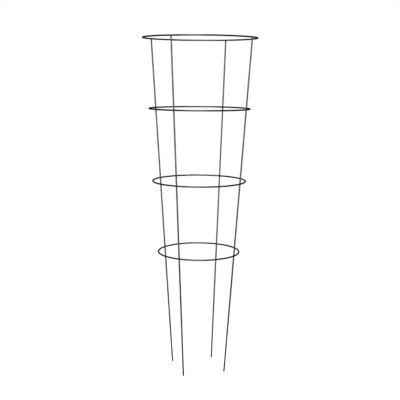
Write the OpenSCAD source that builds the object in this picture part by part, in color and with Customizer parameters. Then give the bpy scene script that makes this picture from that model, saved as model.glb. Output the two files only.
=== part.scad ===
// Tomato cage: four straight wire legs leaning outwards, joined by four welded wire rings.
// The origin is on the ground in the middle of the feet, +Z is up and the front faces -Y.

/* [Overall] */
// Height from the ground to the top of the top ring
cage_h = 1372; // [1250:1:1600]
// Diameter of the top ring, across the middle of its wire
top_ring_d = 458; // [380:1:560]
// Diameter of the circle that the feet stand on, across the middle of the legs
foot_circle_d = 248; // [160:1:340]

/* [Ring heights] */
// Height of the middle of the upper ring above the ground
upper_ring_z = 1089; // [950:1:1200]
// Height of the middle of the lower ring above the ground
lower_ring_z = 795; // [650:1:900]
// Height of the middle of the bottom ring above the ground: the legs below it are pushed into the soil
bottom_ring_z = 500; // [300:1:600]

/* [Wire] */
// Diameter of the leg wire
leg_wire_d = 5.3; // [3.5:0.1:6]
// Diameter of the ring wire
ring_wire_d = 5.3; // [3.5:0.1:6]

/* [Welds] */
// How far two wires are pressed into each other where they are welded
set_down = 1.2; // [0.6:0.1:1.6]
// How far a weld bead stands out past the side of the thicker wire
bead_flash = 1; // [0.6:0.1:1.3]
// Clearance between a bead on a leg and the ring that passes it
bead_clearance = 0.1; // [0.05:0.05:0.3]
// Gap between the two ends of a ring, which its seam weld fills
seam_gap = 1.2; // [0.6:0.1:2]
// Turn of the seam welds, counted from the right-hand side (+X) as seen from above
seam_angle = 103; // [60:1:120]

/* [Hidden] */
// Sides of a wire's cross-section and of a whole ring, where these are drawn with flats
wire_sides = 128;
ring_sides = 256;
$fn = wire_sides;

// Turn of each leg about the middle of the cage, as seen from above
back_right = 45;
back_left = 135;
front_left = 225;
front_right = 315;
leg_angles = [back_right, back_left, front_left, front_right];

// The legs lie inside a ring, or outside it
legs_inside = 1;
legs_outside = -1;

// The legs run in straight lines from the foot circle to the middle of the top ring's wire
foot_r = foot_circle_d / 2;
top_ring_r = top_ring_d / 2;
top_ring_z = cage_h - ring_wire_d / 2;
lean = atan((top_ring_r - foot_r) / top_ring_z);
function leg_r(z) = foot_r + z * tan(lean);

// A ring lies one wire's width from the legs that it crosses, less the depth that they are pressed together
axis_gap = (leg_wire_d + ring_wire_d) / 2 - set_down;
function ring_r(z, side) = leg_r(z) + side * axis_gap / cos(lean);
upper_ring_r = ring_r(upper_ring_z, legs_outside);
lower_ring_r = ring_r(lower_ring_z, legs_inside);
bottom_ring_r = ring_r(bottom_ring_z, legs_inside);

// The upper end of a leg is pressed into the underside of the top ring by the same depth
leg_len = top_ring_z / cos(lean) - (ring_wire_d / 2 - set_down);

bead_r = max(leg_wire_d, ring_wire_d) / 2 + bead_flash;

zinc = [0.55, 0.56, 0.55];
scorched_zinc = [0.38, 0.37, 0.35];

// Places its children on the foot of a leg, with +Z along the leg
module on_leg(angle) {
    rotate([0, 0, angle])
        translate([foot_r, 0, 0])
            rotate([0, lean, 0])
                children();
}

// A leg's wire, long enough at its foot to be cut off level with the ground
module leg_wire(angle) {
    on_leg(angle)
        translate([0, 0, -leg_wire_d])
            cylinder(d = leg_wire_d, h = leg_len + leg_wire_d);
}

// A leg stands flat on the ground, and the top ring beds into its upper end
module leg(angle) {
    ground = 4 * leg_wire_d;
    difference() {
        leg_wire(angle);
        rotate([0, 0, angle])
            translate([foot_r - ground / 2, -ground / 2, -ground])
                cube(ground);
        ring_wire(top_ring_z, top_ring_r);
    }
}

// A ring's wire as a whole circle, with any clearance asked for round it.
// It is turned by half a side, so that a flat, and no corner, meets each leg.
module ring_wire(z, r, clearance = 0) {
    translate([0, 0, z])
        rotate([0, 0, 180 / ring_sides])
            rotate_extrude($fn = ring_sides)
                translate([r, 0])
                    circle(d = ring_wire_d + 2 * clearance, $fn = wire_sides);
}

// A ring's wire as it is rolled, with a gap between its two ends
module rolled_wire(z, r) {
    gap_angle = seam_gap / r * 180 / PI;
    translate([0, 0, z])
        rotate([0, 0, seam_angle + gap_angle / 2])
            rotate_extrude(angle = 360 - gap_angle, $fn = ring_sides)
                translate([r, 0])
                    circle(d = ring_wire_d, $fn = wire_sides);
}

// A ring that crosses the legs, with a shallow seat where each leg is pressed into it
module crossing_ring(z, r) {
    difference() {
        rolled_wire(z, r);
        for (angle = leg_angles)
            leg_wire(angle);
    }
}

// The butt weld that closes a ring: it fills the gap and stands out as a bead round both ends
module seam_weld(z, r) {
    difference() {
        rotate([0, 0, seam_angle])
            translate([r, 0, z])
                rotate([90, 0, 0])
                    sphere(r = bead_r);
        rolled_wire(z, r);
    }
}

// The bead round the upper end of a leg, under the top ring
module top_weld(angle) {
    under_ring = top_ring_z / cos(lean) - ring_wire_d / 2;
    difference() {
        on_leg(angle)
            translate([0, 0, under_ring])
                sphere(r = bead_r);
        ring_wire(top_ring_z, top_ring_r, bead_clearance);
        leg_wire(angle);
    }
}

// The metal squeezed out round a crossing: a ball at the middle of the seat, less the two wires
module cross_weld(angle, z, side) {
    r = ring_r(z, side);
    to_seat = ring_wire_d / 2 - set_down / 2;
    difference() {
        rotate([0, 0, angle])
            translate([r, 0, z])
                rotate([0, lean, 0])
                    translate([-side * to_seat, 0, 0])
                        sphere(r = bead_r);
        ring_wire(z, r, bead_clearance);
        leg_wire(angle);
    }
}

module leg_front_left() {
    color(zinc) leg(front_left);
}

module leg_front_right() {
    color(zinc) leg(front_right);
}

module leg_back_left() {
    color(zinc) leg(back_left);
}

module leg_back_right() {
    color(zinc) leg(back_right);
}

module top_ring() {
    color(zinc) rolled_wire(top_ring_z, top_ring_r);
}

module upper_ring() {
    color(zinc) crossing_ring(upper_ring_z, upper_ring_r);
}

module lower_ring() {
    color(zinc) crossing_ring(lower_ring_z, lower_ring_r);
}

module bottom_ring() {
    color(zinc) crossing_ring(bottom_ring_z, bottom_ring_r);
}

module seam_top_ring() {
    color(scorched_zinc) seam_weld(top_ring_z, top_ring_r);
}

module seam_upper_ring() {
    color(scorched_zinc) seam_weld(upper_ring_z, upper_ring_r);
}

module seam_lower_ring() {
    color(scorched_zinc) seam_weld(lower_ring_z, lower_ring_r);
}

module seam_bottom_ring() {
    color(scorched_zinc) seam_weld(bottom_ring_z, bottom_ring_r);
}

module weld_top(angle) {
    color(scorched_zinc) top_weld(angle);
}

module weld_upper(angle) {
    color(scorched_zinc) cross_weld(angle, upper_ring_z, legs_outside);
}

module weld_lower(angle) {
    color(scorched_zinc) cross_weld(angle, lower_ring_z, legs_inside);
}

module weld_bottom(angle) {
    color(scorched_zinc) cross_weld(angle, bottom_ring_z, legs_inside);
}

leg_front_left();
leg_front_right();
leg_back_left();
leg_back_right();

top_ring();
upper_ring();
lower_ring();
bottom_ring();

seam_top_ring();
seam_upper_ring();
seam_lower_ring();
seam_bottom_ring();

weld_top(front_left);  // weld_top_front_left
weld_top(front_right);  // weld_top_front_right
weld_top(back_left);  // weld_top_back_left
weld_top(back_right);  // weld_top_back_right

weld_upper(front_left);  // weld_upper_front_left
weld_upper(front_right);  // weld_upper_front_right
weld_upper(back_left);  // weld_upper_back_left
weld_upper(back_right);  // weld_upper_back_right

weld_lower(front_left);  // weld_lower_front_left
weld_lower(front_right);  // weld_lower_front_right
weld_lower(back_left);  // weld_lower_back_left
weld_lower(back_right);  // weld_lower_back_right

weld_bottom(front_left);  // weld_bottom_front_left
weld_bottom(front_right);  // weld_bottom_front_right
weld_bottom(back_left);  // weld_bottom_back_left
weld_bottom(back_right);  // weld_bottom_back_right
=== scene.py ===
# %% [markdown]
# # A galvanised tomato cage
# Four straight wire legs lean outwards from the ground, and four wire rings of growing size join them.
# Everything is bare zinc-coated steel wire, so the lesson is about one thing done well: round wire, its
# sheared ends, the marks and the metal that a weld leaves where two wires cross, and the grey skin of
# zinc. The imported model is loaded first, because every piece below has to lie where its solid lies.

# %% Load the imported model
import math

import bmesh
import bpy
import numpy as np
from mathutils import Matrix, Vector


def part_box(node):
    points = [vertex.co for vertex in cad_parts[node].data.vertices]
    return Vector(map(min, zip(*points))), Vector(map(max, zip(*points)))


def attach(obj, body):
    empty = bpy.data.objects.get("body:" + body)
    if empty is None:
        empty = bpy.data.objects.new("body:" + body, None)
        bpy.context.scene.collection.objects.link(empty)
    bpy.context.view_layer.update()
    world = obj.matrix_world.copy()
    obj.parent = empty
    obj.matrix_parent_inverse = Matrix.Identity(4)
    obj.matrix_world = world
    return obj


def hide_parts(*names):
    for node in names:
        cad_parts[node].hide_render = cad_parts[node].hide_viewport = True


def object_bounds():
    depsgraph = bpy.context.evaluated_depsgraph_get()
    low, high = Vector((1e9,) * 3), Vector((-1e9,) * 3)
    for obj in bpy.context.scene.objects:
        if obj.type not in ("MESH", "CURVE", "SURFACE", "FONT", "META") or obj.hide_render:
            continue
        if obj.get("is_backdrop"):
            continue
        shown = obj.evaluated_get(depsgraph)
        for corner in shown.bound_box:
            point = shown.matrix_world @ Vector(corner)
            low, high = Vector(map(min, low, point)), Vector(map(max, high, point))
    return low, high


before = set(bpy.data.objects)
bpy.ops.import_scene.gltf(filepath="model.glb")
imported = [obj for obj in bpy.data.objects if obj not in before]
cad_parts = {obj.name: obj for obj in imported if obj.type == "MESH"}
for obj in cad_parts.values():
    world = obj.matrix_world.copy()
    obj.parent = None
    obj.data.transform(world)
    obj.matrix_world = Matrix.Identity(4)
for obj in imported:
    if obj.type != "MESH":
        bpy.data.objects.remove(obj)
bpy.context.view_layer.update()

# %% [markdown]
# ## Sizes
# The sizes are the solids' own, in metres. They are written out here, and then set against the boxes of
# the solids, so that a change of the solids that this script misses shows in what the cell prints.

# %% Sizes of the wires
MM = 0.001
CAGE_HEIGHT = 1372 * MM
TOP_RING_RADIUS = 229 * MM
FOOT_RADIUS = 124 * MM
WIRE_RADIUS = 2.65 * MM
LEG_ANGLES = {"back_right": 45, "back_left": 135, "front_left": 225, "front_right": 315}

# Two welded wires are pressed into each other by this depth
SET_DOWN = 1.2 * MM
# The two ends of a ring stop this far apart, at this turn about the middle of the cage
SEAM_GAP = 1.2 * MM
SEAM_ANGLE = math.radians(103)
# The legs lie inside a ring, or outside it
LEGS_INSIDE, LEGS_OUTSIDE = 1, -1

TOP_RING_HEIGHT = CAGE_HEIGHT - WIRE_RADIUS
LEAN = math.atan((TOP_RING_RADIUS - FOOT_RADIUS) / TOP_RING_HEIGHT)
LEG_DIRECTION = np.array((math.sin(LEAN), 0, math.cos(LEAN)))
LEG_LENGTH = TOP_RING_HEIGHT / math.cos(LEAN) - (WIRE_RADIUS - SET_DOWN)
AXIS_GAP = 2 * WIRE_RADIUS - SET_DOWN
print(f"legs: {LEG_LENGTH:.4f} long, leaning by {math.degrees(LEAN):.2f} degrees")

# %% Rings, compared with their solids
def leg_radius(height):
    """Distance of a leg's middle from the middle of the cage."""
    return FOOT_RADIUS + height * math.tan(LEAN)


def crossing_radius(height, side):
    """Radius of a ring that lies against the legs, outside them or inside them."""
    return leg_radius(height) + side * AXIS_GAP / math.cos(LEAN)


CROSSING_RINGS = {
    "upper": (1089 * MM, LEGS_OUTSIDE),
    "lower": (795 * MM, LEGS_INSIDE),
    "bottom": (500 * MM, LEGS_INSIDE),
}
RINGS = {"top": (TOP_RING_HEIGHT, TOP_RING_RADIUS)}
for tier, (height, side) in CROSSING_RINGS.items():
    RINGS[tier] = (height, crossing_radius(height, side))

for tier, (height, radius) in RINGS.items():
    low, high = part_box(tier + "_ring")
    miss = max(abs(high.x - radius - WIRE_RADIUS), abs((low.z + high.z) / 2 - height))
    print(f"{tier} ring: radius {radius:.4f}, height {height:.4f}, off its solid by {miss / MM:.2f} mm")

# %% [markdown]
# ## Helpers for node trees
# A node tree that is built in a script stays readable if adding a node, filling its inputs and linking
# it take one line. An input is given either a value or the socket that feeds it.

# %% Helpers for node trees
def add(tree, kind, inputs=None, **settings):
    """Adds a node, sets its settings, and gives each named or numbered input a value or a link."""
    made = tree.nodes.new(kind)
    for name, value in settings.items():
        setattr(made, name, value)
    for key, value in (inputs or {}).items():
        if isinstance(value, bpy.types.NodeSocket):
            tree.links.new(value, made.inputs[key])
        else:
            made.inputs[key].default_value = value
    return made


def new_tree(name, kind, inputs, outputs):
    """Starts a node group with named sockets and returns it, what comes in, and what goes out."""
    tree = bpy.data.node_groups.new(name, kind)
    for direction, sockets in (("INPUT", inputs), ("OUTPUT", outputs)):
        for label, socket in sockets.items():
            tree.interface.new_socket(label, in_out=direction, socket_type="NodeSocket" + socket)
    return tree, tree.nodes.new("NodeGroupInput").outputs, tree.nodes.new("NodeGroupOutput").inputs


def place_group(tree, group, inputs):
    """Places a node group in a tree, in a material's tree or in a shape's."""
    kind = "GeometryNodeGroup" if tree.bl_idname == "GeometryNodeTree" else "ShaderNodeGroup"
    return add(tree, kind, inputs, node_tree=group)


# %% Helpers for numbers and vectors in a tree
def maths(tree, operation, *values):
    return add(tree, "ShaderNodeMath", dict(enumerate(values)), operation=operation).outputs[0]


def vectors(tree, operation, *values):
    return add(tree, "ShaderNodeVectorMath", dict(enumerate(values)), operation=operation).outputs["Vector"]


def scaled(tree, vector, factor):
    inputs = {"Vector": vector, "Scale": factor}
    return add(tree, "ShaderNodeVectorMath", inputs, operation="SCALE").outputs["Vector"]


def measured(tree, operation, *values):
    """A vector operation that gives a number, such as a length or a dot product."""
    return add(tree, "ShaderNodeVectorMath", dict(enumerate(values)), operation=operation).outputs["Value"]


def eased(tree, value, start, end, first=0.0, last=1.0):
    """Goes softly from the first to the last number while a value goes from start to end."""
    inputs = {"Value": value, "From Min": start, "From Max": end, "To Min": first, "To Max": last}
    return add(tree, "ShaderNodeMapRange", inputs, interpolation_type="SMOOTHSTEP").outputs[0]


def split(tree, vector):
    """The three numbers of a vector."""
    return add(tree, "ShaderNodeSeparateXYZ", {0: vector}).outputs


def combined(tree, x=0.0, y=0.0, z=0.0):
    """A vector made of three numbers."""
    return add(tree, "ShaderNodeCombineXYZ", {0: x, 1: y, 2: z}).outputs[0]


# %% [markdown]
# ## Zinc
# Galvanised wire is grey and a little uneven: lighter and darker patches, soft-edged crystals, long fine
# lines from the drawing die, and here and there a pale bloom of oxide. The patterns have to run along the
# wire, also round a ring, so on a wire they don't read plain object coordinates. They read the place on
# the wire, which each wire carries as an attribute: two numbers across the wire and one along it. All the
# finishes share these patterns, so they are one node group, and each material sets their scales.

# %% Patterns of the zinc skin
# The smaller a stretch is, the longer the pattern is drawn out along the wire
PATCH_STRETCH, LINE_STRETCH, BLOTCH_STRETCH, CRYSTAL_STRETCH = 0.35, 0.012, 0.6, 0.6
BLOTCHES_TO_A_PATCH = 2.3
BLOOM_START, BLOOM_FULL = 0.56, 0.74

zinc_skin, skin_in, skin_out = new_tree(
    "zinc skin",
    "ShaderNodeTree",
    {"Place": "Vector", "Patch Scale": "Float", "Crystal Scale": "Float", "Line Scale": "Float"},
    {"Patches": "Float", "Crystals": "Float", "Lines": "Float", "Bloom": "Float"},
)


def drawn_out(stretch):
    """The place on the wire with its length shortened, so that a pattern on it is drawn out."""
    return vectors(zinc_skin, "MULTIPLY", skin_in["Place"], (1.0, 1.0, stretch))


def skin_noise(stretch, scale, detail, roughness):
    """Noise on the wire's skin, drawn out along the wire."""
    inputs = {"Vector": drawn_out(stretch), "Scale": scale, "Detail": detail, "Roughness": roughness}
    return add(zinc_skin, "ShaderNodeTexNoise", inputs).outputs["Fac"]


patches = skin_noise(PATCH_STRETCH, skin_in["Patch Scale"], detail=5.0, roughness=0.62)
lines = skin_noise(LINE_STRETCH, skin_in["Line Scale"], detail=3.0, roughness=0.7)
blotch_scale = maths(zinc_skin, "MULTIPLY", skin_in["Patch Scale"], BLOTCHES_TO_A_PATCH)
blotches = skin_noise(BLOTCH_STRETCH, blotch_scale, detail=6.0, roughness=0.7)
bloom = eased(zinc_skin, blotches, BLOOM_START, BLOOM_FULL)
grains = add(
    zinc_skin,
    "ShaderNodeTexVoronoi",
    {"Vector": drawn_out(CRYSTAL_STRETCH), "Scale": skin_in["Crystal Scale"], "Smoothness": 0.6},
    feature="SMOOTH_F1",
)
crystals = add(zinc_skin, "ShaderNodeSeparateColor", {"Color": grains.outputs["Color"]}).outputs[0]
for label, value in (("Patches", patches), ("Crystals", crystals), ("Lines", lines), ("Bloom", bloom)):
    zinc_skin.links.new(value, skin_out[label])
print("zinc skin:", len(zinc_skin.nodes), "nodes")

# %% [markdown]
# ## Helpers for materials
# Each finish is one Principled shader that the patterns feed. The helpers start such a material, place
# the patterns in it, turn a pattern into a run of colours, lay one colour over another, and lift the
# surface by a pattern.

# %% Helpers for materials
def start_material(name):
    """Starts a material and returns it, its node tree and its shader."""
    made = bpy.data.materials.new(name)
    made.use_nodes = True
    made.node_tree.nodes.clear()
    shader = made.node_tree.nodes.new("ShaderNodeBsdfPrincipled")
    output = made.node_tree.nodes.new("ShaderNodeOutputMaterial")
    made.node_tree.links.new(shader.outputs[0], output.inputs["Surface"])
    return made, made.node_tree, shader


def skin_patterns(tree, place, patch_scale, crystal_scale, line_scale):
    """Places the zinc skin's patterns in a material, at scales of its own."""
    scales = {"Patch Scale": patch_scale, "Crystal Scale": crystal_scale, "Line Scale": line_scale}
    return place_group(tree, zinc_skin, {"Place": place, **scales}).outputs


def ramp(tree, value, *stops):
    """A colour ramp whose stops are a position and a grey or a colour."""
    made = add(tree, "ShaderNodeValToRGB", {"Fac": value})
    band = made.color_ramp
    while len(band.elements) < len(stops):
        band.elements.new(0.5)
    for element, (position, colour) in zip(band.elements, stops):
        element.position = position
        element.color = (*colour, 1.0) if isinstance(colour, tuple) else (colour, colour, colour, 1.0)
    return made.outputs["Color"]


def mixed(tree, factor, first, second, blend="MIX"):
    """Mixes two colours: the node's inputs 6 and 7, and its output 2, are the ones for colours."""
    inputs = {0: factor, 6: first, 7: second}
    return add(tree, "ShaderNodeMix", inputs, data_type="RGBA", blend_type=blend).outputs[2]


def lift(tree, shader, pattern, strength, distance):
    """Gives a surface the relief of a pattern."""
    bump = add(tree, "ShaderNodeBump", {"Height": pattern, "Strength": strength, "Distance": distance})
    tree.links.new(bump.outputs[0], shader.inputs["Normal"])


# %% [markdown]
# ## Zinc-coated wire
# Dull zinc is a metal with a broad gloss: the patches change its grey and its roughness together, the
# crystals and the drawn lines only tint it and lift it by a hair. Bloom is no metal, so it also takes the
# metal's shine away. Close to a weld the heat has tinted the zinc: straw-coloured first, then a dull brown.

# %% Colour of the zinc, scorched round its welds
DARK_ZINC, MIDDLE_ZINC, PALE_ZINC = (0.150, 0.152, 0.139), (0.230, 0.232, 0.213), (0.334, 0.337, 0.311)
STRAW_TINT, BROWN_TINT, BURNT_TINT = (1.04, 1.0, 0.90), (0.90, 0.84, 0.75), (0.72, 0.68, 0.63)
BLOOM_COLOUR = (0.46, 0.46, 0.43, 1.0)

wire_zinc, tree, shader = start_material("zinc_wire")
place = add(tree, "ShaderNodeAttribute", attribute_name="wire_place").outputs["Vector"]
heat = add(tree, "ShaderNodeAttribute", attribute_name="weld_heat").outputs["Fac"]
skin = skin_patterns(tree, place, patch_scale=90.0, crystal_scale=520.0, line_scale=2600.0)
zinc = ramp(tree, skin["Patches"], (0.32, DARK_ZINC), (0.50, MIDDLE_ZINC), (0.68, PALE_ZINC))
crystal_tint = ramp(tree, skin["Crystals"], (0.1, 0.86), (0.9, 1.10))
line_tint = ramp(tree, skin["Lines"], (0.30, 0.78), (0.70, 1.10))
scorch = ramp(tree, heat, (0.0, 1.0), (0.35, STRAW_TINT), (0.7, BROWN_TINT), (1.0, BURNT_TINT))
for tint in (crystal_tint, line_tint, scorch):
    zinc = mixed(tree, 1.0, zinc, tint, "MULTIPLY")
unburnt = eased(tree, heat, start=0.1, end=0.6, first=0.55, last=0.0)
bloom = maths(tree, "MULTIPLY", skin["Bloom"], unburnt)
zinc = mixed(tree, bloom, zinc, BLOOM_COLOUR)
tree.links.new(zinc, shader.inputs["Base Color"])
print("coloured", wire_zinc.name)

# %% Gloss and relief of the zinc
HEAT_ROUGHENS, BLOOM_ROUGHENS = 0.15, 0.4
CRYSTAL_RELIEF = 0.35
metal = eased(tree, bloom, start=0.0, end=0.6, first=0.88, last=0.45)
tree.links.new(metal, shader.inputs["Metallic"])
rough = eased(tree, skin["Patches"], start=0.3, end=0.7, first=0.32, last=0.50)
rough = maths(tree, "MULTIPLY_ADD", heat, HEAT_ROUGHENS, rough)
rough = maths(tree, "MULTIPLY_ADD", bloom, BLOOM_ROUGHENS, rough)
tree.links.new(rough, shader.inputs["Roughness"])
relief = maths(tree, "MULTIPLY_ADD", skin["Crystals"], CRYSTAL_RELIEF, skin["Lines"])
lift(tree, shader, relief, strength=0.35, distance=0.08 * MM)
print("made", wire_zinc.name, "of", len(tree.nodes), "nodes")

# %% [markdown]
# ## Weld metal and cut steel
# A bead is steel with some zinc left on it, duller and rougher than the wire. A sheared end shows bare
# steel, which starts to rust where its zinc is gone. Both use the same patterns at a smaller scale. They
# have no direction that a pattern could follow, so here object coordinates will do.

# %% Weld metal
DARK_CRUST, MIDDLE_CRUST, PALE_CRUST = (0.085, 0.082, 0.076), (0.175, 0.171, 0.160), (0.290, 0.285, 0.268)
BROWN_CRUST, BROWN_SHARE = (0.20, 0.15, 0.11, 1.0), 0.35

weld_metal, tree, shader = start_material("weld_metal")
place = add(tree, "ShaderNodeTexCoord").outputs["Object"]
skin = skin_patterns(tree, place, patch_scale=420.0, crystal_scale=1400.0, line_scale=1800.0)
crust = ramp(tree, skin["Patches"], (0.30, DARK_CRUST), (0.52, MIDDLE_CRUST), (0.72, PALE_CRUST))
crust = mixed(tree, maths(tree, "MULTIPLY", skin["Bloom"], BROWN_SHARE), crust, BROWN_CRUST)
tree.links.new(crust, shader.inputs["Base Color"])
rough = eased(tree, skin["Patches"], start=0.3, end=0.7, first=0.68, last=0.42)
tree.links.new(rough, shader.inputs["Roughness"])
shader.inputs["Metallic"].default_value = 0.8
lift(tree, shader, skin["Crystals"], strength=0.4, distance=0.1 * MM)
print("made", weld_metal.name, "of", len(tree.nodes), "nodes")

# %% The cut of a sheared end
DARK_STEEL, PALE_STEEL = (0.16, 0.155, 0.145), (0.36, 0.355, 0.34)
RUST = (0.13, 0.065, 0.035, 1.0)

cut_steel, tree, shader = start_material("sheared_steel")
place = add(tree, "ShaderNodeTexCoord").outputs["Object"]
skin = skin_patterns(tree, place, patch_scale=700.0, crystal_scale=900.0, line_scale=3000.0)
steel = ramp(tree, skin["Patches"], (0.35, DARK_STEEL), (0.70, PALE_STEEL))
steel = mixed(tree, skin["Bloom"], steel, RUST)
tree.links.new(steel, shader.inputs["Base Color"])
rough = eased(tree, skin["Bloom"], start=0.0, end=1.0, first=0.38, last=0.75)
tree.links.new(rough, shader.inputs["Roughness"])
shader.inputs["Metallic"].default_value = 0.85
lift(tree, shader, skin["Patches"], strength=0.3, distance=0.1 * MM)
print("made", cut_steel.name, "of", len(tree.nodes), "nodes")

# %% [markdown]
# ## Where the welds are
# The wires need to know where they were heated and pressed. A small helper mesh holds one point for each
# weld, and the wire tree looks for the nearest of them. It is deleted once the wires are made.

# %% Weld places
def round_the_cage(radius, height, angle):
    """A point at a radius and a height, turned about the middle of the cage."""
    return (radius * math.cos(angle), radius * math.sin(angle), height)


weld_places = []
for height, radius in RINGS.values():
    weld_places.append(round_the_cage(radius, height, SEAM_ANGLE))
    for angle in LEG_ANGLES.values():
        weld_places.append(round_the_cage((radius + leg_radius(height)) / 2, height, math.radians(angle)))
weld_mesh = bpy.data.meshes.new("weld_places")
weld_mesh.from_pydata(weld_places, [], [])
weld_points = bpy.data.objects.new("weld_places", weld_mesh)
bpy.context.scene.collection.objects.link(weld_points)
print("weld places:", len(weld_places))

# %% [markdown]
# ## Drawn wire
# A wire is a circle swept along a path, and that is all that the legs and the rings share, so it is one
# geometry node group. A curve with a round bevel would be quicker, but it couldn't carry what the zinc
# needs, which is the place on the wire and the heat of the nearest weld, and every wire would be perfectly
# smooth. Here the straightening rolls leave a slight sway between the welds, the zinc lies on a little
# unevenly, and where a welding electrode pressed on the back of a crossing, it left a small flat.

# %% What a wire's tree is given
FLAT_DEPTH = 0.45 * MM
WIRE_INPUTS = {
    "Wire Radius": ("Float", WIRE_RADIUS),
    "Sides": ("Int", 28),
    "Step": ("Float", 2.0 * MM),
    "Sway": ("Float", 0.35 * MM),
    "Zinc Thickness": ("Float", 0.05 * MM),
    "Weld Places": ("Object", weld_points),
    "Heat Reach": ("Float", 16 * MM),
    "Electrode Gap": ("Float", 2 * WIRE_RADIUS - SET_DOWN / 2 - FLAT_DEPTH),
    "Seed": ("Float", 0.0),
}
WIRE_SOCKETS = {name: kind for name, (kind, value) in WIRE_INPUTS.items()}
WIRE_FINISH = {name: value for name, (kind, value) in WIRE_INPUTS.items()}
print("inputs of a wire:", ", ".join(WIRE_INPUTS))

# %% Helpers for shapes in a tree
def store(tree, geometry, name, value, kind="FLOAT"):
    """Writes a value on every point of a shape, under a name."""
    inputs = {"Geometry": geometry, "Name": name, "Value": value}
    return add(tree, "GeometryNodeStoreNamedAttribute", inputs, data_type=kind, domain="POINT").outputs[0]


def stored(tree, name, kind="FLOAT"):
    return add(tree, "GeometryNodeInputNamedAttribute", {"Name": name}, data_type=kind).outputs[0]


def uneven(tree, place, scale, detail, seed):
    """Noise from -1 to 1 in each direction."""
    inputs = {"Vector": place, "Scale": scale, "Detail": detail, "W": seed}
    noise = add(tree, "ShaderNodeTexNoise", inputs, noise_dimensions="4D").outputs["Color"]
    return vectors(tree, "MULTIPLY_ADD", noise, (2.0, 2.0, 2.0), (-1.0, -1.0, -1.0))


def moved(tree, geometry, offset):
    return add(tree, "GeometryNodeSetPosition", {"Geometry": geometry, "Offset": offset}).outputs[0]


def smoothed(tree, geometry):
    return add(tree, "GeometryNodeSetShadeSmooth", {"Geometry": geometry, "Shade Smooth": True}).outputs[0]


def realised(tree, geometry):
    return add(tree, "GeometryNodeRealizeInstances", {"Geometry": geometry}).outputs[0]


def coated(tree, geometry, material, selection=True):
    inputs = {"Geometry": geometry, "Selection": selection, "Material": material}
    return add(tree, "GeometryNodeSetMaterial", inputs).outputs[0]


# %% A wire along a path
# A weld holds the wire still up to the first distance, and past the second it sways freely
HELD_REACH, FREE_REACH = 8 * MM, 60 * MM
SWAY_SCALE, SWAY_DETAIL = 11.0, 1.0

wire_sweep, wire_in, wire_out = new_tree(
    "wire along a path", "GeometryNodeTree", {"Path": "Geometry", **WIRE_SOCKETS}, {"Wire": "Geometry"}
)
tree = wire_sweep
position = tree.nodes.new("GeometryNodeInputPosition").outputs[0]
welds = add(tree, "GeometryNodeObjectInfo", {"Object": wire_in["Weld Places"]}).outputs["Geometry"]
nearest = add(tree, "GeometryNodeProximity", {"Geometry": welds}, target_element="POINTS").outputs
path = add(
    tree, "GeometryNodeResampleCurve", {"Curve": wire_in["Path"], "Length": wire_in["Step"]}, mode="LENGTH"
).outputs[0]
path = store(tree, path, "along", tree.nodes.new("GeometryNodeSplineParameter").outputs["Length"])
free = eased(tree, nearest["Distance"], HELD_REACH, FREE_REACH)
sway = maths(tree, "MULTIPLY", wire_in["Sway"], free)
sway = scaled(tree, uneven(tree, position, SWAY_SCALE, SWAY_DETAIL, wire_in["Seed"]), sway)
path = moved(tree, path, sway)
circle = add(
    tree,
    "GeometryNodeCurvePrimitiveCircle",
    {"Resolution": wire_in["Sides"], "Radius": wire_in["Wire Radius"]},
    mode="RADIUS",
).outputs[0]
circle = store(tree, circle, "section", position, "FLOAT_VECTOR")
wire = add(
    tree, "GeometryNodeCurveToMesh", {"Curve": path, "Profile Curve": circle, "Fill Caps": True}
).outputs[0]
print("wire tree, swept:", len(tree.nodes), "nodes")

# %% What a wire carries for its zinc
section = split(tree, stored(tree, "section", "FLOAT_VECTOR"))
length = maths(tree, "ADD", stored(tree, "along"), wire_in["Seed"])
place = combined(tree, section[0], section[1], length)
wire = store(tree, wire, "wire_place", place, "FLOAT_VECTOR")
heat = eased(tree, nearest["Distance"], 0.0, wire_in["Heat Reach"], first=1.0, last=0.0)
wire = store(tree, wire, "weld_heat", heat)
for spent in ("along", "section"):
    wire = add(tree, "GeometryNodeRemoveAttribute", {"Geometry": wire, "Name": spent}).outputs[0]
print("wire tree, with its place and heat:", len(tree.nodes), "nodes")

# %% Flats under the electrodes, and uneven zinc
# An electrode presses fully up to the first distance from a weld, and past the second not at all
PRESSED_REACH, ELECTRODE_EDGE = 6.0 * MM, 8.5 * MM
LUMP_SCALE, LUMP_DETAIL, LUMP_STRETCH = 240.0, 2.0, 0.3

outwards = vectors(tree, "NORMALIZE", vectors(tree, "MULTIPLY", nearest["Position"], (1.0, 1.0, 0.0)))
level, tilt = math.cos(LEAN), math.sin(LEAN)
pressed = vectors(tree, "MULTIPLY_ADD", outwards, (level, level, level), (0.0, 0.0, -tilt))
from_seat = vectors(tree, "SUBTRACT", position, nearest["Position"])
height = measured(tree, "DOT_PRODUCT", from_seat, pressed)
over = maths(tree, "SUBTRACT", maths(tree, "ABSOLUTE", height), wire_in["Electrode Gap"])
over = maths(tree, "MAXIMUM", over, 0.0)
under_electrode = eased(tree, nearest["Distance"], ELECTRODE_EDGE, PRESSED_REACH)
push = maths(tree, "MULTIPLY", over, maths(tree, "MULTIPLY", under_electrode, maths(tree, "SIGN", height)))
wire = moved(tree, wire, scaled(tree, pressed, maths(tree, "MULTIPLY", push, -1.0)))
skin_place = stored(tree, "wire_place", "FLOAT_VECTOR")
skin_place = vectors(tree, "MULTIPLY", skin_place, (1.0, 1.0, LUMP_STRETCH))
lumps = split(tree, uneven(tree, skin_place, LUMP_SCALE, LUMP_DETAIL, wire_in["Seed"]))[0]
lumps = maths(tree, "MULTIPLY", lumps, wire_in["Zinc Thickness"])
wire = moved(tree, wire, scaled(tree, tree.nodes.new("GeometryNodeInputNormal").outputs[0], lumps))
tree.links.new(smoothed(tree, wire), wire_out["Wire"])
print("wire tree, finished:", len(tree.nodes), "nodes")

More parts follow.
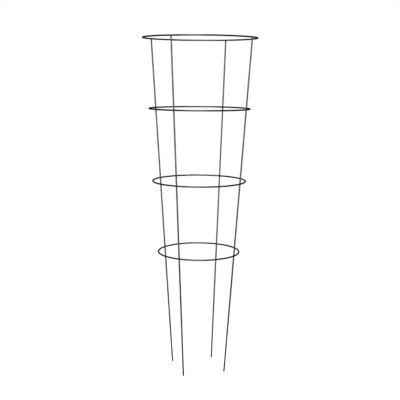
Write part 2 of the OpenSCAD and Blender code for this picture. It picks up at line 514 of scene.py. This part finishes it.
# %% [markdown]
# ## The wire's skin laid flat
# The export bakes a finish into a picture, through a flat map of the piece's skin. An automatic map lays
# a ring out as the hoop that it is: most of the picture stays empty, and a few pixels are left across the
# wire. A wire is easy to lay out. Its skin is slit lengthwise and cut into lengths that lie in
# rows, and its two round ends lie in a row of their own.

# %% A flat map for a wire
MAP_NAME = "OFBake"
MAP_ROWS = 4
ROW_EDGE, LENGTH_EDGE = 0.04, 0.01
END_SIZE = 0.45
QUARTER_TURN = 0.25
TURN_DIGITS = 6
# A face of the skin has this many corners, and a round end has more
SKIN_CORNERS = 4


def lay_flat(piece):
    """Gives a wire a map of its skin: the place on the wire, cut into rows."""
    mesh = piece.data
    places = np.empty(3 * len(mesh.vertices))
    corners = np.empty(len(mesh.loops), int)
    counts = np.empty(len(mesh.polygons), int)
    mesh.attributes["wire_place"].data.foreach_get("vector", places)
    mesh.loops.foreach_get("vertex_index", corners)
    mesh.polygons.foreach_get("loop_total", counts)
    faces = np.repeat(np.arange(len(counts)), counts)
    side_x, side_y, along = places.reshape(-1, 3)[corners].T

    def middle(values):
        return (np.bincount(faces, values) / counts)[faces]

    along = (along - along.min()) / np.ptp(along) * MAP_ROWS
    row = np.minimum(np.floor(middle(along)), MAP_ROWS - 1)
    around = np.round(np.arctan2(side_y, side_x) / math.tau, TURN_DIGITS) % 1
    # A face at the slit has corners on both sides of it, so the ones that start again at 0 count as 1
    around = around + (middle(around) - around > QUARTER_TURN)
    skin_u = LENGTH_EDGE + (along - row) * (1 - 2 * LENGTH_EDGE)
    skin_v = (row + ROW_EDGE + around * (1 - 2 * ROW_EDGE)) / (MAP_ROWS + 1)
    end = np.where(row > 0, 1, 0)
    end_u = (end + 0.5 + END_SIZE * side_x / WIRE_RADIUS) / (MAP_ROWS + 1)
    end_v = (MAP_ROWS + 0.5 + END_SIZE * side_y / WIRE_RADIUS) / (MAP_ROWS + 1)
    is_end = (counts > SKIN_CORNERS)[faces]
    flat = np.stack((np.where(is_end, end_u, skin_u), np.where(is_end, end_v, skin_v)), axis=1)
    mesh.uv_layers.new(name=MAP_NAME).uv.foreach_set("vector", flat.astype(np.float32).ravel())


print("rows of a wire's map:", MAP_ROWS)

# %% [markdown]
# ## Helpers for pieces
# Geometry Nodes are a modifier, and what is kept of a piece is a plain mesh. So a piece starts as an empty
# mesh with the tree on it, its sizes are set by each input's identifier, and the tree's result takes the
# empty mesh's place.

# %% Helpers for pieces
def grow_piece(name, tree, sizes):
    """Runs a geometry tree with the given sizes and returns its result as a plain mesh object."""
    piece = bpy.data.objects.new(name, bpy.data.meshes.new(name + "_start"))
    bpy.context.scene.collection.objects.link(piece)
    shape = piece.modifiers.new("shape", "NODES")
    shape.node_group = tree
    labels = {item.name: item.identifier for item in tree.interface.items_tree if item.in_out == "INPUT"}
    for label, value in sizes.items():
        shape[labels[label]] = value
    piece.update_tag()
    graph = bpy.context.evaluated_depsgraph_get()
    made = bpy.data.meshes.new_from_object(
        piece.evaluated_get(graph), preserve_all_data_layers=True, depsgraph=graph
    )
    piece.modifiers.remove(shape)
    piece.data = made
    made.name = name
    return piece


def finish_piece(piece, slot, *nodes):
    """Makes a piece ride on the cage and stand for its solids. Its slot is not used."""
    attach(piece, "root")
    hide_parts(*nodes)
    triangles = sum(len(face.vertices) - 2 for face in piece.data.polygons)
    print(f"{piece.name}: {triangles} triangles, stands for {', '.join(nodes)}")


def wire_along(tree, path, given):
    """Sweeps a wire along a path, with the wire sizes that the tree itself is given."""
    sizes = {name: given[name] for name in WIRE_SOCKETS}
    return place_group(tree, wire_sweep, {"Path": path, **sizes}).outputs[0]


# %% [markdown]
# ## Legs
# A leg is a straight wire that shears cut off at both ends. Its upper end is bedded in the top ring and
# its foot stands on the ground. A shear rounds the edge of the cut, so the foot's face is pushed out and
# drawn in a little, and then levelled, because the leg leans and the foot stands flat.

# %% The leg's tree
leg_tree, leg_in, leg_out = new_tree(
    "leg",
    "GeometryNodeTree",
    {
        "Foot": "Vector",
        "Head": "Vector",
        "Edge": "Float",
        **WIRE_SOCKETS,
        "Zinc": "Material",
        "Cut": "Material",
    },
    {"Leg": "Geometry"},
)
tree = leg_tree
ends = {"Start": leg_in["Foot"], "End": leg_in["Head"]}
line = add(tree, "GeometryNodeCurvePrimitiveLine", ends).outputs[0]
leg = wire_along(tree, line, leg_in)
print("leg tree, without its foot:", len(tree.nodes), "nodes")

# %% The leg's sheared foot
# A face that points down at least this much is the cut at the foot
DOWNWARDS = -0.9
# Steps of the rounded edge: a share of its height, and how much of the cut's width the step leaves
EDGE_STEPS = ((0.35, 0.965), (0.65, 0.90))
# What lies lower than this share of the edge is levelled with the ground
LEVEL_SHARE = 0.4

normal = tree.nodes.new("GeometryNodeInputNormal").outputs[0]
is_cut = maths(tree, "LESS_THAN", split(tree, normal)[2], DOWNWARDS)
for share, width in EDGE_STEPS:
    pushed = add(
        tree,
        "GeometryNodeExtrudeMesh",
        {
            "Mesh": leg,
            "Selection": is_cut,
            "Offset Scale": maths(tree, "MULTIPLY", leg_in["Edge"], share),
            "Individual": False,
        },
        mode="FACES",
    ).outputs
    leg = add(
        tree,
        "GeometryNodeScaleElements",
        {"Geometry": pushed["Mesh"], "Selection": pushed["Top"], "Scale": width},
    ).outputs[0]
place = tree.nodes.new("GeometryNodeInputPosition").outputs[0]
level_height = maths(tree, "MULTIPLY", leg_in["Edge"], LEVEL_SHARE)
lowest = maths(tree, "LESS_THAN", split(tree, place)[2], level_height)
level = vectors(tree, "MULTIPLY", place, (1.0, 1.0, 0.0))
leg = add(
    tree, "GeometryNodeSetPosition", {"Geometry": leg, "Selection": lowest, "Position": level}
).outputs[0]
leg = coated(tree, realised(tree, leg), leg_in["Zinc"])
leg = coated(tree, leg, leg_in["Cut"], is_cut)
tree.links.new(leg, leg_out["Leg"])
print("leg tree, finished:", len(tree.nodes), "nodes")

# %% Legs
FOOT_EDGE = 0.6 * MM
LEG_SEED, LEG_SEED_STEP = 10.0, 3.7

wires = bpy.data.collections.new("wires")
for number, (corner, angle) in enumerate(LEG_ANGLES.items()):
    turn = Matrix.Rotation(math.radians(angle), 3, "Z")
    foot = Vector((leg_radius(FOOT_EDGE), 0, FOOT_EDGE))
    head = Vector((FOOT_RADIUS, 0, 0)) + Vector(LEG_DIRECTION) * LEG_LENGTH
    name = "leg_" + corner
    sizes = {
        **WIRE_FINISH,
        "Foot": turn @ foot,
        "Head": turn @ head,
        "Edge": FOOT_EDGE,
        "Seed": LEG_SEED + LEG_SEED_STEP * number,
        "Zinc": wire_zinc,
        "Cut": cut_steel,
    }
    piece = grow_piece(name + "_wire", leg_tree, sizes)
    lay_flat(piece)
    wires.objects.link(piece)
    finish_piece(piece, "galvanised_wire", name)

# %% [markdown]
# ## Rings
# A ring is the same wire rolled into a hoop. Its two ends meet at a seam, so the path is an arc that
# stops just short of a whole turn, and a collar of weld metal closes it later.

# %% The ring's tree
ARC_POINTS = 720

ring_tree, ring_in, ring_out = new_tree(
    "ring",
    "GeometryNodeTree",
    {
        "Ring Radius": "Float",
        "Ring Height": "Float",
        "Seam Angle": "Float",
        "Gap Angle": "Float",
        **WIRE_SOCKETS,
        "Zinc": "Material",
    },
    {"Ring": "Geometry"},
)
tree = ring_tree
half_gap = maths(tree, "MULTIPLY", ring_in["Gap Angle"], 0.5)
arc = add(
    tree,
    "GeometryNodeCurveArc",
    {
        "Resolution": ARC_POINTS,
        "Radius": ring_in["Ring Radius"],
        "Start Angle": maths(tree, "ADD", ring_in["Seam Angle"], half_gap),
        "Sweep Angle": maths(tree, "SUBTRACT", math.tau, ring_in["Gap Angle"]),
    },
    mode="RADIUS",
).outputs[0]
arc = moved(tree, arc, combined(tree, z=ring_in["Ring Height"]))
ring = realised(tree, wire_along(tree, arc, ring_in))
tree.links.new(coated(tree, ring, ring_in["Zinc"]), ring_out["Ring"])
print("ring tree:", len(tree.nodes), "nodes")

# %% Rings
RING_SEED, RING_SEED_STEP = 40.0, 5.3

for number, (tier, (height, radius)) in enumerate(RINGS.items()):
    name = tier + "_ring"
    sizes = {
        **WIRE_FINISH,
        "Ring Radius": radius,
        "Ring Height": height,
        "Seam Angle": SEAM_ANGLE,
        "Gap Angle": SEAM_GAP / radius,
        "Seed": RING_SEED + RING_SEED_STEP * number,
        "Zinc": wire_zinc,
    }
    piece = grow_piece(name + "_wire", ring_tree, sizes)
    lay_flat(piece)
    wires.objects.link(piece)
    finish_piece(piece, "galvanised_wire", name)
bpy.data.objects.remove(weld_points)

# %% [markdown]
# ## Weld beads
# Where two wires are welded, they sink into each other, and soft metal is squeezed out into the corner
# between them as a fillet with a ragged lip. The shape has a rule: the distance to the nearer wire,
# rounded off where the two distances are close. A ball of rays starts in the middle of the weld, and each
# ray stops where it leaves the metal. Where there is no fillet, the bead dips under the wire, so its edge
# is the fillet's own.

# %% Distances that shape a bead
# Waves round the lip: the share of its radius, how many there are in a turn, and where they start
LIP_WAVES = ((0.07, 3, 0.6), (0.05, 5, 2.1), (0.03, 9, 0.0))


def leg_distance(points):
    """Distance from the skin of a leg that stands at angle 0, cut off at its upper end."""
    offset = points - np.array((FOOT_RADIUS, 0, 0))
    along = offset @ LEG_DIRECTION
    across = np.linalg.norm(offset - along[..., None] * LEG_DIRECTION, axis=-1)
    return np.maximum(across - WIRE_RADIUS, along - LEG_LENGTH)


def ring_distance(points, height, radius):
    """Distance from the skin of a ring, taken as a whole hoop."""
    outwards = np.hypot(points[..., 0], points[..., 1]) - radius
    return np.hypot(outwards, points[..., 2] - height) - WIRE_RADIUS


def rounded_join(first, second, width):
    """The lesser of two distances, rounded off over a width where they are close."""
    share = np.clip(0.5 + 0.5 * (second - first) / width, 0, 1)
    return second + (first - second) * share - width * share * (1 - share)


def lip_distance(points, centre, axis, radius, thickness):
    """Distance from a ragged disc of squeezed metal that lies across an axis."""
    offset = points - centre
    through = offset @ axis
    flat = offset - through[..., None] * axis
    side = np.cross(axis, (0, 1, 0))
    angle = np.arctan2(flat[..., 1], flat @ side)
    ragged = sum(share * np.sin(count * angle + start) for share, count, start in LIP_WAVES)
    edge = np.maximum(np.linalg.norm(flat, axis=-1) - radius * (1 + ragged) + thickness / 2, 0)
    return np.hypot(edge, through) - thickness / 2


# %% Casting a bead
BALL_FINENESS = 5
RAY_STEPS = 160
TINY = 1e-12


def ball_of_rays(fineness):
    """Directions spread evenly over a ball, and the faces between them."""
    ball = bmesh.new()
    bmesh.ops.create_icosphere(ball, subdivisions=fineness, radius=1)
    rays = np.array([vertex.co[:] for vertex in ball.verts])
    faces = [[vertex.index for vertex in face.verts] for face in ball.faces]
    ball.free()
    return rays, faces


RAYS, RAY_FACES = ball_of_rays(BALL_FINENESS)


def cast_bead(name, centre, metal, reach):
    """Stops each ray where it leaves the metal, and returns the bead's mesh object."""
    steps = np.linspace(0, reach, RAY_STEPS)
    depth = np.stack([metal(centre + RAYS * step) for step in steps], axis=1)
    outside = depth > 0
    leaves = outside.any(axis=1)
    index = np.where(leaves, np.maximum(outside.argmax(axis=1), 1), len(steps) - 1)
    rows = np.arange(len(RAYS))
    before, after = depth[rows, index - 1], depth[rows, index]
    share = np.where(leaves, before / (before - after - TINY), 1.0)
    length = steps[index - 1] + np.clip(share, 0, 1) * (steps[1] - steps[0])
    mesh = bpy.data.meshes.new(name)
    mesh.from_pydata((centre + RAYS * length[:, None]).tolist(), [], RAY_FACES)
    made = bpy.data.objects.new(name, mesh)
    bpy.context.scene.collection.objects.link(made)
    return made


print("rays of a bead:", len(RAYS))

# %% The metal round a joint
FILLET = 1.6 * MM
LIP_RADIUS = 3.5 * MM
LIP_THICKNESS = 1.1 * MM
BEAD_REACH = 5.2 * MM
# How deep a bead lies under the wire where it has no fillet, and the fillet that brings it up again
DIP = 0.9 * MM
DIP_EDGE = 0.10 * MM


def joined_metal(height, radius, centre, axis):
    """The metal round the joint of a leg and a ring, as a function of points."""

    def metal(points):
        leg, ring = leg_distance(points), ring_distance(points, height, radius)
        fillet = rounded_join(leg, ring, FILLET)
        lip = lip_distance(points, centre, axis, LIP_RADIUS, LIP_THICKNESS)
        bead = rounded_join(fillet, lip, FILLET / 2)
        proud = np.clip((np.minimum(leg, ring) - bead) / DIP_EDGE, 0, 1)
        return bead + DIP * (1 - proud * proud * (3 - 2 * proud))

    return metal


print(f"fillet {FILLET / MM:.1f} mm, lip {LIP_RADIUS / MM:.1f} mm from the middle of a weld")

# %% [markdown]
# ## Beads round the cage
# A tier's four beads are one cast bead, repeated round the cage and then roughened where each one stands,
# so no two are alike. A weld also spits: a few droplets of metal freeze on the wires close by. They are
# scattered over the wires themselves, most of them near the bead, so that each one sits on metal.

# %% The beads' tree
GRAIN_DETAIL = 2.0

bead_tree, bead_in, bead_out = new_tree(
    "beads round the cage",
    "GeometryNodeTree",
    {
        "Bead": "Object",
        "Count": "Int",
        "First Angle": "Float",
        "Grain": "Float",
        "Roughness": "Float",
        "Wires": "Collection",
        "Droplet Density": "Float",
        "Droplet Radius": "Float",
        "Droplet Reach": "Float",
        "Seed": "Int",
        "Metal": "Material",
    },
    {"Beads": "Geometry"},
)
tree = bead_tree
bead = add(tree, "GeometryNodeObjectInfo", {"Object": bead_in["Bead"]}).outputs["Geometry"]
points = add(tree, "GeometryNodePoints", {"Count": bead_in["Count"]}).outputs[0]
number = tree.nodes.new("GeometryNodeInputIndex").outputs[0]
pitch = maths(tree, "DIVIDE", math.tau, bead_in["Count"])
turn = combined(tree, z=maths(tree, "MULTIPLY_ADD", number, pitch, bead_in["First Angle"]))
beads = add(
    tree, "GeometryNodeInstanceOnPoints", {"Points": points, "Instance": bead, "Rotation": turn}
).outputs[0]
position = tree.nodes.new("GeometryNodeInputPosition").outputs[0]
lumps = uneven(tree, position, bead_in["Grain"], GRAIN_DETAIL, bead_in["Seed"])
beads = moved(tree, realised(tree, beads), scaled(tree, lumps, bead_in["Roughness"]))
print("bead tree, without droplets:", len(tree.nodes), "nodes")

# %% Droplets close to the beads
COLD_LIMIT = 0.02
DROPLET_SEGMENTS, DROPLET_RINGS = 8, 4
DROPLET_FORM = (1.0, 1.0, 0.6)
SMALLEST_SHARE = 0.35

all_wires = add(tree, "GeometryNodeCollectionInfo", {"Collection": bead_in["Wires"]}).outputs[0]
cold = maths(tree, "LESS_THAN", stored(tree, "weld_heat"), COLD_LIMIT)
hot_wires = add(
    tree,
    "GeometryNodeDeleteGeometry",
    {"Geometry": realised(tree, all_wires), "Selection": cold},
    domain="POINT",
).outputs[0]
to_bead = add(tree, "GeometryNodeProximity", {"Geometry": beads}, target_element="FACES").outputs["Distance"]
near = eased(tree, to_bead, 0.0, bead_in["Droplet Reach"], first=1.0, last=0.0)
density = maths(tree, "MULTIPLY", bead_in["Droplet Density"], maths(tree, "MULTIPLY", near, near))
landed = add(
    tree,
    "GeometryNodeDistributePointsOnFaces",
    {"Mesh": hot_wires, "Density": density, "Seed": bead_in["Seed"]},
    distribute_method="RANDOM",
).outputs
droplet = add(
    tree,
    "GeometryNodeMeshUVSphere",
    {"Radius": bead_in["Droplet Radius"], "Segments": DROPLET_SEGMENTS, "Rings": DROPLET_RINGS},
).outputs["Mesh"]
# Inputs 2 and 3, and output 1, are the random node's ones for plain numbers
size = add(
    tree, "FunctionNodeRandomValue", {2: SMALLEST_SHARE, 3: 1.0, "Seed": bead_in["Seed"]}, data_type="FLOAT"
).outputs[1]
droplets = add(
    tree,
    "GeometryNodeInstanceOnPoints",
    {
        "Points": landed["Points"],
        "Instance": droplet,
        "Rotation": landed["Rotation"],
        "Scale": scaled(tree, DROPLET_FORM, size),
    },
).outputs[0]
both = tree.nodes.new("GeometryNodeJoinGeometry")
for part in (beads, droplets):
    tree.links.new(part, both.inputs[0])
welds = smoothed(tree, realised(tree, both.outputs[0]))
tree.links.new(coated(tree, welds, bead_in["Metal"]), bead_out["Beads"])
print("bead tree, finished:", len(tree.nodes), "nodes")

# %% Beads at the crossings
BEAD_FINISH = {
    "Grain": 520.0,
    "Roughness": 0.22 * MM,
    "Wires": wires,
    "Droplet Density": 36000.0,
    "Droplet Radius": 0.36 * MM,
    "Droplet Reach": 9 * MM,
    "Metal": weld_metal,
}
CROSSING_SEED, TOP_SEED, SEAM_SEED = 70, 80, 90


def weld_round(name, bead, count, first_angle, seed, nodes):
    """Repeats a cast bead round the cage as one piece, and deletes the cast one."""
    sizes = {**BEAD_FINISH, "Bead": bead, "Count": count, "First Angle": first_angle, "Seed": seed}
    piece = grow_piece(name, bead_tree, sizes)
    bpy.data.objects.remove(bead)
    finish_piece(piece, "weld_bead", *nodes)


first_leg = math.radians(min(LEG_ANGLES.values()))
square_to_leg = np.array((math.cos(LEAN), 0, -math.sin(LEAN)))
for number, (tier, (height, side)) in enumerate(CROSSING_RINGS.items()):
    radius = RINGS[tier][1]
    seat = np.array((radius, 0, height)) - side * (WIRE_RADIUS - SET_DOWN / 2) * square_to_leg
    metal = joined_metal(height, radius, seat, square_to_leg)
    bead = cast_bead(tier + "_bead", seat, metal, BEAD_REACH)
    nodes = [f"weld_{tier}_{corner}" for corner in LEG_ANGLES]
    weld_round(tier + "_ring_welds", bead, len(LEG_ANGLES), first_leg, CROSSING_SEED + number, nodes)

# %% Beads under the top ring
under_ring = np.array((FOOT_RADIUS, 0, 0)) + LEG_DIRECTION * (LEG_LENGTH - SET_DOWN / 2)
metal = joined_metal(TOP_RING_HEIGHT, TOP_RING_RADIUS, under_ring, LEG_DIRECTION)
bead = cast_bead("top_bead", under_ring, metal, BEAD_REACH)
nodes = [f"weld_top_{corner}" for corner in LEG_ANGLES]
weld_round("top_ring_welds", bead, len(LEG_ANGLES), first_leg, TOP_SEED, nodes)

# %% [markdown]
# ## Seam collars
# A ring's two ends are pressed together while they are soft, and the metal swells into a collar round the
# joint. The collar is cast in the same way as the beads: its skin lies further from the middle of the wire
# close to the seam, and under the skin of the wire away from it.

# %% Seam collars
COLLAR_HEIGHT = 0.8 * MM
COLLAR_WIDTH = 1.4 * MM
COLLAR_REACH = 3.8 * MM


def collar_metal(height, radius):
    """The metal round the seam of a ring at angle 0, as a function of points."""

    def metal(points):
        along = radius * np.arctan2(points[..., 1], points[..., 0])
        swell = np.exp(-((along / COLLAR_WIDTH) ** 2))
        return ring_distance(points, height, radius) + DIP - (DIP + COLLAR_HEIGHT) * swell

    return metal


for number, (tier, (height, radius)) in enumerate(RINGS.items()):
    middle = np.array((radius, 0, height))
    bead = cast_bead(tier + "_collar", middle, collar_metal(height, radius), COLLAR_REACH)
    weld_round(tier + "_ring_seam", bead, 1, SEAM_ANGLE, SEAM_SEED + number, [f"seam_{tier}_ring"])
bpy.data.collections.remove(wires)

# %% [markdown]
# ## Camera
# The photograph looks at the cage from the left of its front, from a little under the height of the top
# ring, with a long lens. The camera stands at that place, looks down by the same angle, and is turned
# about its own axis by the small tilt of the photograph.

# %% Camera
VIEW_TURN = math.radians(-16.66)
VIEW_DISTANCE = 3.224
VIEW_HEIGHT = 1.220
VIEW_PITCH = math.radians(8.90)
VIEW_YAW = math.radians(0.075)
VIEW_ROLL = math.radians(0.423)
FOCAL_PIXELS = 793.4
FRAME_PIXELS = 400
SENSOR_WIDTH = 36

ahead = Vector(
    (
        math.sin(VIEW_YAW) * math.cos(VIEW_PITCH),
        math.cos(VIEW_YAW) * math.cos(VIEW_PITCH),
        -math.sin(VIEW_PITCH),
    )
)
level_right = Vector((math.cos(VIEW_YAW), -math.sin(VIEW_YAW), 0))
level_up = level_right.cross(ahead)
right = math.cos(VIEW_ROLL) * level_right + math.sin(VIEW_ROLL) * level_up
up = math.cos(VIEW_ROLL) * level_up - math.sin(VIEW_ROLL) * level_right
facing = Matrix((right, up, -ahead)).transposed().to_4x4()
camera_data = bpy.data.cameras.new("camera")
camera_data.sensor_width = SENSOR_WIDTH
camera_data.lens = SENSOR_WIDTH * FOCAL_PIXELS / FRAME_PIXELS
camera = bpy.data.objects.new("camera", camera_data)
bpy.context.scene.collection.objects.link(camera)
view_turn = Matrix.Rotation(VIEW_TURN, 4, "Z")
camera.matrix_world = view_turn @ Matrix.Translation((0, -VIEW_DISTANCE, VIEW_HEIGHT)) @ facing
bpy.context.scene.camera = camera
camera_place = tuple(round(x, 3) for x in camera.matrix_world.translation)
print("camera at", camera_place, "lens", round(camera_data.lens, 1))

# %% [markdown]
# ## Floor and light
# The photograph has a plain white ground. The floor is a pale disc that glows, as a sheet lit from below
# does, and fades into the white round it, so no edge shows. In the photograph a ring is grey in the middle
# of its front and of its back and almost black at its two sides, while the legs are grey from top to
# bottom. Light from beside the camera does that: a wire that runs across the view mirrors it, and one that
# runs along the view can't. So two tall panels stand close to the camera's axis, the stronger one on its
# left. A third light hangs higher, where the rings mirror it and the legs don't. The photograph's thin
# lines are also darker than light alone would make them where a wire covers only part of a pixel, and a
# display gamma below 1 gives the render the same tones.

# %% Floor
FLOOR_RADIUS, FLOOR_SIDES = 3.0, 96
FADE_START, FADE_END = 0.3, 1.6
FLOOR_COLOUR, FLOOR_ROUGHNESS = (0.88, 0.885, 0.89, 1.0), 0.7
FLOOR_GLOW = 0.83
WHITE = (1.0, 1.0, 1.0, 1.0)

floor_mesh = bpy.data.meshes.new("floor")
disc = bmesh.new()
bmesh.ops.create_circle(disc, cap_ends=True, segments=FLOOR_SIDES, radius=FLOOR_RADIUS)
disc.to_mesh(floor_mesh)
disc.free()
floor = bpy.data.objects.new("floor", floor_mesh)
bpy.context.scene.collection.objects.link(floor)
floor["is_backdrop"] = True
floor.visible_glossy = False
floor.visible_diffuse = False
pale_floor, tree, shader = start_material("pale_floor")
shader.inputs["Base Color"].default_value = FLOOR_COLOUR
shader.inputs["Roughness"].default_value = FLOOR_ROUGHNESS
shader.inputs["Emission Color"].default_value = WHITE
shader.inputs["Emission Strength"].default_value = FLOOR_GLOW
place = add(tree, "ShaderNodeTexCoord").outputs["Object"]
fade = eased(tree, measured(tree, "LENGTH", place), FADE_START, FADE_END, first=1.0, last=0.0)
tree.links.new(fade, shader.inputs["Alpha"])
floor_mesh.materials.append(pale_floor)
print("floor: radius", FLOOR_RADIUS, "fading from", FADE_START, "to", FADE_END)

# %% Lights
LAMP_COLOUR = (1.0, 1.0, 0.99)
PANEL_DISTANCE = 3.4
PANEL_WIDTH, PANEL_HEIGHT, PANEL_MIDDLE = 1.6, 2.4, 1.0
# Degrees round the cage from the camera, counted to its right, and power in watts
PANELS = {"main_panel": (-10, 82), "side_panel": (24, 30)}
HIGH_PLACE = (-0.5, -2.6, 3.0)
HIGH_SIZE, HIGH_POWER = 1.4, 34


def soft_light(name, place, aim, wide, tall, power):
    """A soft light, placed as seen from the camera's side, that faces a point on the axis of the cage."""
    data = bpy.data.lights.new(name, "AREA")
    data.shape = "RECTANGLE"
    data.size = wide
    data.size_y = tall
    data.energy = power
    data.color = LAMP_COLOUR
    light = bpy.data.objects.new(name, data)
    bpy.context.scene.collection.objects.link(light)
    light.location = view_turn @ Vector(place)
    light.rotation_euler = (Vector((0, 0, aim)) - light.location).to_track_quat("-Z", "Y").to_euler()


for name, (degrees, power) in PANELS.items():
    turn = math.radians(degrees)
    place = (PANEL_DISTANCE * math.sin(turn), -PANEL_DISTANCE * math.cos(turn), PANEL_MIDDLE)
    soft_light(name, place, PANEL_MIDDLE, PANEL_WIDTH, PANEL_HEIGHT, power)
soft_light("high_light", HIGH_PLACE, CAGE_HEIGHT / 2, HIGH_SIZE, HIGH_SIZE, HIGH_POWER)
print("lights:", len(bpy.data.lights))

# %% Room and tones
ROOM_COLOUR, ROOM_STRENGTH = (1.0, 0.99, 0.95, 1.0), 0.04
DISPLAY_GAMMA = 0.66

world = bpy.data.worlds.new("studio")
bpy.context.scene.world = world
world.use_nodes = True
tree = world.node_tree
tree.nodes.clear()
seen = add(tree, "ShaderNodeBackground", {"Color": WHITE, "Strength": 1.0}).outputs[0]
lit = add(tree, "ShaderNodeBackground", {"Color": ROOM_COLOUR, "Strength": ROOM_STRENGTH}).outputs[0]
to_camera = tree.nodes.new("ShaderNodeLightPath").outputs["Is Camera Ray"]
studio = add(tree, "ShaderNodeMixShader", {0: to_camera, 1: lit, 2: seen}).outputs[0]
add(tree, "ShaderNodeOutputWorld", {"Surface": studio})
tones = bpy.context.scene.view_settings
tones.view_transform = "Standard"
tones.gamma = DISPLAY_GAMMA
print("display:", tones.view_transform, "gamma", round(tones.gamma, 2))

# %% [markdown]
# ## Sizes at the end
# The dressed cage has to stay in the box of its solids.

# %% Sizes and finish
low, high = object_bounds()
print("box of the looks ", [round(x, 4) for x in (*low, *high)])
